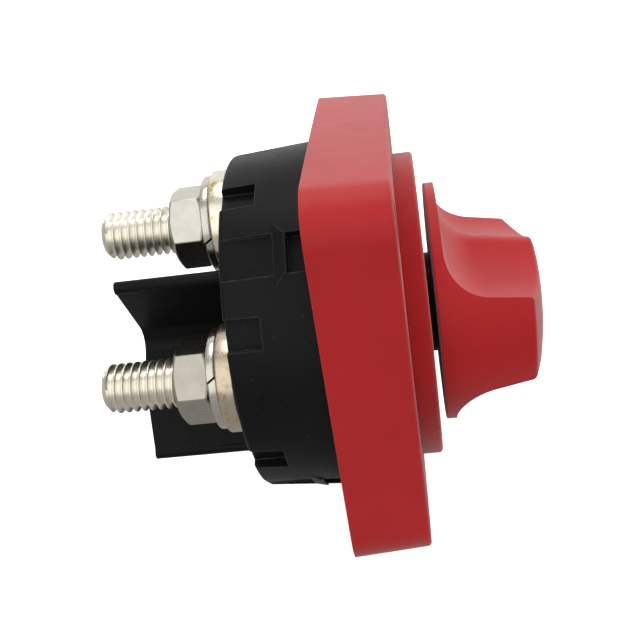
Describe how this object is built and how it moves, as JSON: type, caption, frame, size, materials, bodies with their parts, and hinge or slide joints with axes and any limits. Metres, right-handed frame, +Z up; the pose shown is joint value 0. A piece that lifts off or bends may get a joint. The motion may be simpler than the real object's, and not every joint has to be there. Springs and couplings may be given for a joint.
{
  "type": "battery switch",
  "caption": "Panel-mounted rotary battery disconnect switch: square red surround, round knob with a grip bar, black rear case, threaded terminal studs and a dividing wall.",
  "frame": {"origin": "centre of the four panel screw holes, in the plane of the surround's back face, which lies on the panel", "axes": "+Y is the switch's axis and points through the panel to the terminals; the knob faces -Y; +Z is up and +X is to the right for someone facing the knob"},
  "size_m": [0.0698, 0.0831, 0.0698],
  "materials": {
    "red_plastic": "satin moulded plastic",
    "black_plastic": "satin moulded plastic",
    "black_nylon": "satin moulded plastic",
    "seal_rubber": "matt",
    "stud_metal": "bright plated, rolled thread",
    "nut_steel": "satin stainless steel",
    "gold_washer": "yellow plated",
    "tinned_washer": "tinned",
    "contact_copper": "bare copper",
    "contact_silver": "silver alloy",
    "spring_steel": "bright spring steel",
    "white_acetal": "low-friction plastic"
  },
  "bodies": {
    "switch_body": {"surround": "red_plastic", "front_cover": "red_plastic", "rear_case": "black_plastic", "case_seal": "seal_rubber", "terminal_stud_upper": "stud_metal", "terminal_stud_lower": "stud_metal", "terminal_nut_upper": "nut_steel", "terminal_nut_lower": "nut_steel", "spring_washer_upper": "spring_steel", "spring_washer_lower": "spring_steel", "flat_washer_upper": "gold_washer", "flat_washer_lower": "gold_washer", "contact_washer_upper": "tinned_washer", "contact_washer_lower": "tinned_washer", "stud_seals": "seal_rubber", "stud_tips": "contact_silver"},
    "turning_parts": {"rotor": "black_nylon", "knob": "red_plastic", "knob_screw": "nut_steel", "shaft_seal": "seal_rubber", "thrust_washer": "white_acetal", "spring_seat": "spring_steel", "contact_bridge": "contact_copper", "bridge_tips": "contact_silver", "bridge_clip": "spring_steel", "bridge_spring": "spring_steel", "detent_balls": "spring_steel", "detent_springs": "spring_steel"}
  },
  "joints": [
    {"name": "knob_turn", "type": "hinge", "parent": "switch_body", "child": "turning_parts", "pos_m": [0, 0, 0], "axis": [0, 1, 0], "range_deg": [-1, 89]}
  ]
}
